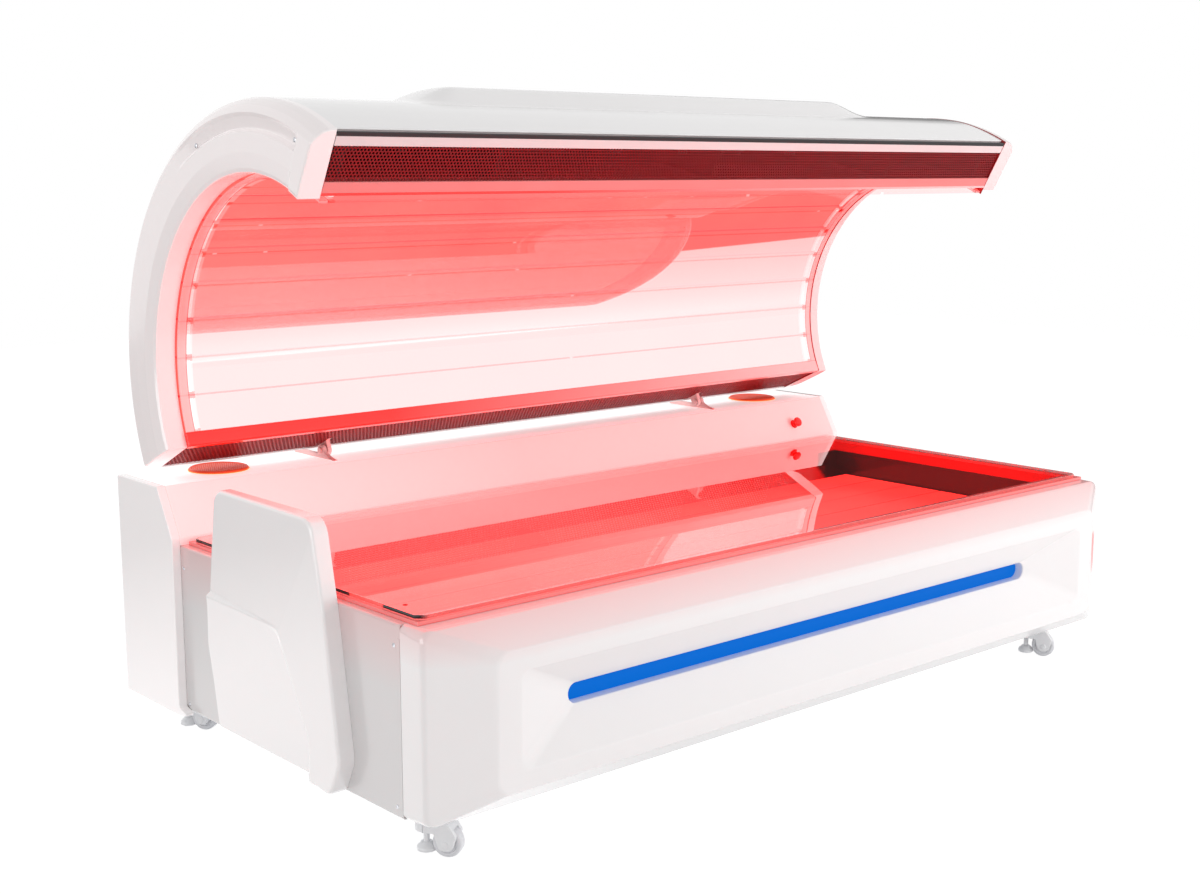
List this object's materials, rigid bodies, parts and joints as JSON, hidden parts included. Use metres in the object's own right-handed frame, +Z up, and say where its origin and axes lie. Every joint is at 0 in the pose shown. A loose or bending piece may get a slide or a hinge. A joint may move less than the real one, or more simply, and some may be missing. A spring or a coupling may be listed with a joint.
{
  "type": "red light therapy bed",
  "caption": "Lie-down light therapy bed: a boxed base with a lit acrylic bed, a rear console and an arched canopy of red light boards that tilts on hinges, on levelling casters.",
  "frame": {"origin": "on the floor, under the middle of the box that bounds the whole bed at rest", "axes": "+X along the bed, to the right as seen from its open front; +Y from the front cover to the console at the back; +Z up"},
  "size_m": [2.216, 1.23, 1.4615],
  "materials": {
    "white_gloss_moulding": "gloss",
    "white_gloss_sheet": "gloss powder coat",
    "white_satin_sheet": "satin powder coat",
    "clear_acrylic": "polished",
    "red_light_board": "lit",
    "red_enamel": "satin",
    "red_mesh": "satin",
    "blue_light": "lit",
    "orange_mesh": "satin",
    "black_plastic": "satin",
    "galvanised_steel": "zinc plated",
    "aluminium": "mill",
    "bright_steel": "polished",
    "red_button": "gloss",
    "grey_nylon": "satin",
    "grey_rubber": "matte"
  },
  "bodies": {
    "base": {"front_panel": "white_gloss_moulding", "front_light_lens": "blue_light", "left_side_panel": "white_gloss_sheet", "right_side_panel": "white_gloss_sheet", "left_wing_panel": "white_gloss_moulding", "rear_console_shell": "white_gloss_sheet", "left_column_panel": "white_gloss_moulding", "right_column_panel": "white_gloss_moulding", "rear_cover": "white_satin_sheet", "exhaust_fan_frame": "black_plastic", "mains_inlet": "black_plastic", "bed_light_well": "red_enamel", "bed_acrylic": "clear_acrylic", "bed_light_module_front": "red_light_board", "bed_light_module_middle": "red_light_board", "bed_light_module_rear": "red_light_board", "base_frame": "galvanised_steel", "base_floor_pan": "galvanised_steel", "power_supply_left": "aluminium", "power_supply_right": "aluminium", "control_box": "white_satin_sheet", "left_speaker_grille": "orange_mesh", "right_speaker_grille": "orange_mesh", "left_speaker_driver": "black_plastic", "right_speaker_driver": "black_plastic", "stop_button_socket": "black_plastic", "left_hinge_plate": "white_satin_sheet", "right_hinge_plate": "white_satin_sheet", "left_hinge_pin": "bright_steel", "right_hinge_pin": "bright_steel"},
    "canopy": {"canopy_shell": "white_gloss_moulding", "canopy_left_end_cap": "white_gloss_moulding", "canopy_right_end_cap": "white_gloss_moulding", "canopy_acrylic": "clear_acrylic", "canopy_light_module_1": "red_light_board", "canopy_light_module_2": "red_light_board", "canopy_light_module_3": "red_light_board", "canopy_light_module_4": "red_light_board", "canopy_light_module_5": "red_light_board", "canopy_light_module_6": "red_light_board", "canopy_front_upper_rail": "white_gloss_sheet", "canopy_front_lower_rail": "red_mesh", "canopy_rear_rail": "red_enamel", "canopy_front_grille": "red_mesh", "canopy_rear_grille": "red_mesh", "canopy_frame": "aluminium"},
    "stop_head": {"stop_button": "red_button"},
    "fan_rotor": {"exhaust_fan_rotor": "black_plastic"},
    "front_left_fork": {"front_left_caster_fork": "grey_nylon"},
    "front_left_wheel": {"front_left_caster_wheel": "grey_rubber"},
    "front_left_foot": {"front_left_levelling_foot": "grey_nylon"},
    "front_right_fork": {"front_right_caster_fork": "grey_nylon"},
    "front_right_wheel": {"front_right_caster_wheel": "grey_rubber"},
    "front_right_foot": {"front_right_levelling_foot": "grey_nylon"},
    "rear_left_fork": {"rear_left_caster_fork": "grey_nylon"},
    "rear_left_wheel": {"rear_left_caster_wheel": "grey_rubber"},
    "rear_left_foot": {"rear_left_levelling_foot": "grey_nylon"},
    "rear_right_fork": {"rear_right_caster_fork": "grey_nylon"},
    "rear_right_wheel": {"rear_right_caster_wheel": "grey_rubber"},
    "rear_right_foot": {"rear_right_levelling_foot": "grey_nylon"}
  },
  "joints": [
    {"name": "canopy_tilt", "type": "hinge", "parent": "base", "child": "canopy", "pos_m": [0.008, 0.487, 0.6265], "axis": [1, 0, 0], "range_deg": [0, 46]},
    {"name": "stop_press", "type": "slide", "parent": "base", "child": "stop_head", "axis": [0, 0.8701, -0.4929], "range_m": [0, 0.006], "stiffness_N_per_m": 2000},
    {"name": "fan_spin", "type": "hinge", "parent": "base", "child": "fan_rotor", "pos_m": [0.008, 0.59, 0.3115], "axis": [0, 1, 0], "continuous": true},
    {"name": "front_left_swivel", "type": "hinge", "parent": "base", "child": "front_left_fork", "pos_m": [-0.977, -0.417, 0.1], "axis": [0, 0, 1], "continuous": true},
    {"name": "front_left_roll", "type": "hinge", "parent": "front_left_fork", "child": "front_left_wheel", "pos_m": [-0.952, -0.454, 0.0295], "axis": [0.8286, 0.5599, 0], "continuous": true},
    {"name": "front_left_level", "type": "slide", "parent": "front_left_fork", "child": "front_left_foot", "axis": [0, 0, -1], "range_m": [0, 0.01]},
    {"name": "front_right_swivel", "type": "hinge", "parent": "base", "child": "front_right_fork", "pos_m": [0.993, -0.417, 0.1], "axis": [0, 0, 1], "continuous": true},
    {"name": "front_right_roll", "type": "hinge", "parent": "front_right_fork", "child": "front_right_wheel", "pos_m": [1.018, -0.454, 0.0295], "axis": [0.8286, 0.5599, 0], "continuous": true},
    {"name": "front_right_level", "type": "slide", "parent": "front_right_fork", "child": "front_right_foot", "axis": [0, 0, -1], "range_m": [0, 0.01]},
    {"name": "rear_left_swivel", "type": "hinge", "parent": "base", "child": "rear_left_fork", "pos_m": [-0.977, 0.542, 0.1], "axis": [0, 0, 1], "continuous": true},
    {"name": "rear_left_roll", "type": "hinge", "parent": "rear_left_fork", "child": "rear_left_wheel", "pos_m": [-0.952, 0.505, 0.0295], "axis": [0.8286, 0.5599, 0], "continuous": true},
    {"name": "rear_left_level", "type": "slide", "parent": "rear_left_fork", "child": "rear_left_foot", "axis": [0, 0, -1], "range_m": [0, 0.01]},
    {"name": "rear_right_swivel", "type": "hinge", "parent": "base", "child": "rear_right_fork", "pos_m": [0.993, 0.542, 0.1], "axis": [0, 0, 1], "continuous": true},
    {"name": "rear_right_roll", "type": "hinge", "parent": "rear_right_fork", "child": "rear_right_wheel", "pos_m": [1.018, 0.505, 0.0295], "axis": [0.8286, 0.5599, 0], "continuous": true},
    {"name": "rear_right_level", "type": "slide", "parent": "rear_right_fork", "child": "rear_right_foot", "axis": [0, 0, -1], "range_m": [0, 0.01]}
  ]
}
